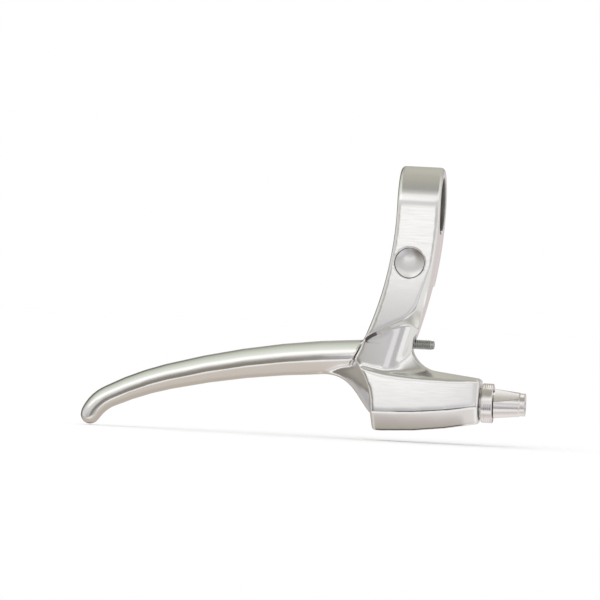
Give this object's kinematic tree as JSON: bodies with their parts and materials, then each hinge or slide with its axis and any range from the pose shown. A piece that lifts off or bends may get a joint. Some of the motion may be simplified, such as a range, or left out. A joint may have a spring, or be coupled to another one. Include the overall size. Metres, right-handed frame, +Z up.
{
  "type": "bicycle brake lever",
  "caption": "Polished aluminium flat-bar brake lever with handlebar clamp, long curved blade with ball end, reach screw and slotted cable adjuster.",
  "frame": {"origin": "centre of the handlebar clamp's bore, on the bar's axis and midway along the clamp", "axes": "+X along the handlebar towards the cable adjuster, -Y towards the viewer of the picture, +Z up from the blade to the clamp"},
  "size_m": [0.1789, 0.0324, 0.11],
  "materials": {
    "polished_aluminium": "polished, slightly satin",
    "turned_aluminium": "turned, satin",
    "plated_steel": "bright plated",
    "spring_steel": "grey steel",
    "bearing_brass": "plain"
  },
  "bodies": {
    "bracket": {"bracket": "polished_aluminium", "pivot_bolt": "plated_steel", "pivot_washer": "plated_steel", "clamp_bolt": "plated_steel", "clamp_washer": "plated_steel", "clamp_nut": "plated_steel", "return_spring": "spring_steel"},
    "lever": {"lever_blade": "polished_aluminium", "pivot_bush_front": "bearing_brass", "pivot_bush_rear": "bearing_brass"},
    "reach_screw": {"reach_screw": "spring_steel"},
    "locknut": {"adjuster_locknut": "turned_aluminium"},
    "barrel": {"adjuster_barrel": "turned_aluminium"}
  },
  "joints": [
    {"name": "lever_pivot", "type": "hinge", "parent": "bracket", "child": "lever", "pos_m": [-0.01, 0, -0.0475], "axis": [0, 1, 0], "range_deg": [0, 32], "stiffness_Nm_per_rad": 0.25, "springref_deg": -20.05, "deforming": ["return_spring"]},
    {"name": "reach_screw_turn", "type": "hinge", "parent": "bracket", "child": "reach_screw", "pos_m": [0, 0, -0.0558], "axis": [1, 0, 0], "range_deg": [-360, 360]},
    {"name": "adjuster_travel", "type": "slide", "parent": "bracket", "child": "locknut", "axis": [1, 0, 0], "range_m": [0, 0.005]},
    {"name": "adjuster_turn", "type": "hinge", "parent": "locknut", "child": "barrel", "pos_m": [0.03, 0, -0.0778], "axis": [1, 0, 0], "range_deg": [0, 1800]}
  ],
  "couplings": [
    {"joint": "adjuster_travel", "follows": "adjuster_turn", "m_per_rad": 0.00015915}
  ]
}
